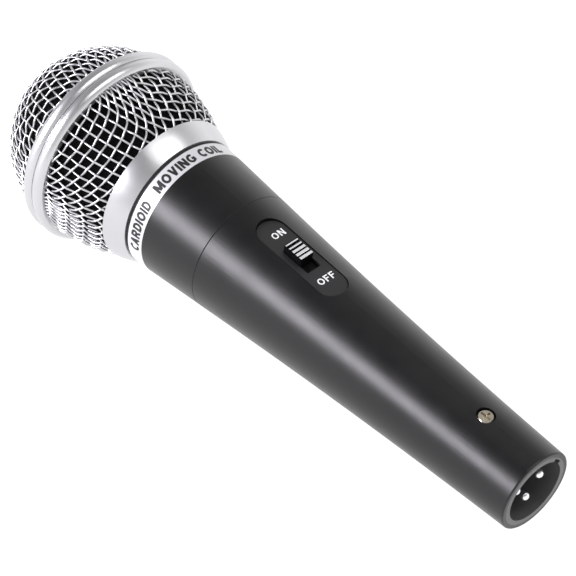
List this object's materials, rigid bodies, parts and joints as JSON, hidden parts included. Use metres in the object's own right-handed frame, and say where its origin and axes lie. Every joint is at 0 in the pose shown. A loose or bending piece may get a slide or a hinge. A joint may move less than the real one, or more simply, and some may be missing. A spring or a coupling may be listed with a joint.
{
  "type": "dynamic microphone",
  "caption": "Hand-held dynamic microphone with a tapered handle, on-off slide switch, screw-on woven ball grille, moving-coil capsule and a plug socket in its tail.",
  "frame": {"origin": "on the axis, in the plane of the tail's end face, at the mouth of the plug socket", "axes": "+X along the axis from the tail to the tip of the grille, +Z towards the side with the switch, +Y completes a right-handed frame"},
  "size_m": [0.1703, 0.0522, 0.0522],
  "materials": {
    "handle_black": "satin black powder paint, faint fine texture",
    "sleeve_black": "satin black paint",
    "label_silver": "pale satin silver paint with black printing",
    "spigot_alloy": "machined light alloy",
    "rubber_black": "matt moulded rubber",
    "shell_grey": "dark grey cast shell",
    "insulator_black": "moulded black plastic",
    "pin_silver": "bright silver plate",
    "leaf_bronze": "spring bronze",
    "screw_nickel": "nickel plate, a little warm",
    "plate_black": "fine-grained black plastic with white printing",
    "case_steel": "bent tin-plated steel",
    "board_brown": "pressed paper and resin board",
    "contact_brass": "stamped brass",
    "knob_black": "moulded black plastic, silver printed rib tops",
    "actuator_white": "natural moulded plastic",
    "capsule_black": "moulded black plastic",
    "felt_grey": "pressed felt",
    "yoke_steel": "turned mild steel",
    "magnet_dark": "plated sintered magnet",
    "film_amber": "thin clear film, slightly amber",
    "coil_copper": "enamelled copper winding",
    "collar_silver": "satin silver, finely blasted",
    "band_silver": "satin silver, finely blasted",
    "mesh_silver": "bright satin wire",
    "foam_black": "open-cell foam",
    "lead_red": "insulated wire",
    "lead_white": "insulated wire",
    "lead_green": "insulated wire"
  },
  "bodies": {
    "handle": {"capsule_carrier": "capsule_black", "capsule_clamp_ring": "capsule_black", "capsule_felt": "felt_grey", "capsule_front_cap": "capsule_black", "capsule_gap_ring": "yoke_steel", "capsule_housing": "capsule_black", "capsule_magnet": "magnet_dark", "capsule_pole_plate": "yoke_steel", "capsule_tabs": "contact_brass", "capsule_terminal_board": "board_brown", "capsule_yoke": "yoke_steel", "diaphragm_surround": "film_amber", "handle_tube": "handle_black", "label_ring": "label_silver", "lead_capsule_a": "lead_red", "lead_capsule_b": "lead_white", "lead_ground": "lead_green", "lead_output_2": "lead_red", "lead_output_3": "lead_white", "neck_sleeve": "sleeve_black", "neck_spigot": "spigot_alloy", "shock_mount_ring": "rubber_black", "switch_base": "board_brown", "switch_case": "case_steel", "switch_plate": "plate_black", "switch_terminals": "contact_brass", "xlr_ground_leaf": "leaf_bronze", "xlr_insulator": "insulator_black", "xlr_pin_1": "pin_silver", "xlr_pin_2": "pin_silver", "xlr_pin_3": "pin_silver", "xlr_set_screw": "screw_nickel", "xlr_shell": "shell_grey"},
    "slider": {"switch_knob": "knob_black", "switch_actuator": "actuator_white", "switch_wipers": "leaf_bronze"},
    "diaphragm": {"diaphragm_dome": "film_amber", "voice_coil": "coil_copper"},
    "seal": {"seal_ring": "rubber_black"},
    "grille": {"grille_collar": "collar_silver", "grille_nut": "spigot_alloy", "mesh_lower": "mesh_silver", "band_lower_ring": "band_silver", "band_upper_ring": "band_silver", "mesh_dome": "mesh_silver", "foam_lower": "foam_black", "foam_dome": "foam_black"}
  },
  "joints": [
    {"name": "switch_slide", "type": "slide", "parent": "handle", "child": "slider", "axis": [-0.9977, 0, -0.068], "range_m": [0, 0.0026]},
    {"name": "diaphragm_travel", "type": "slide", "parent": "handle", "child": "diaphragm", "axis": [1, 0, 0], "range_m": [-0.0003, 0.0003], "stiffness_N_per_m": 44, "deforming": ["diaphragm_surround"]},
    {"name": "grille_lift", "type": "slide", "parent": "handle", "child": "seal", "axis": [1, 0, 0], "range_m": [0, 0.005]},
    {"name": "grille_turn", "type": "hinge", "parent": "seal", "child": "grille", "pos_m": [0.1217, 0, 0], "axis": [1, 0, 0], "range_deg": [0, 1440]}
  ],
  "couplings": [
    {"joint": "grille_lift", "follows": "grille_turn", "m_per_rad": 0.00019894}
  ]
}
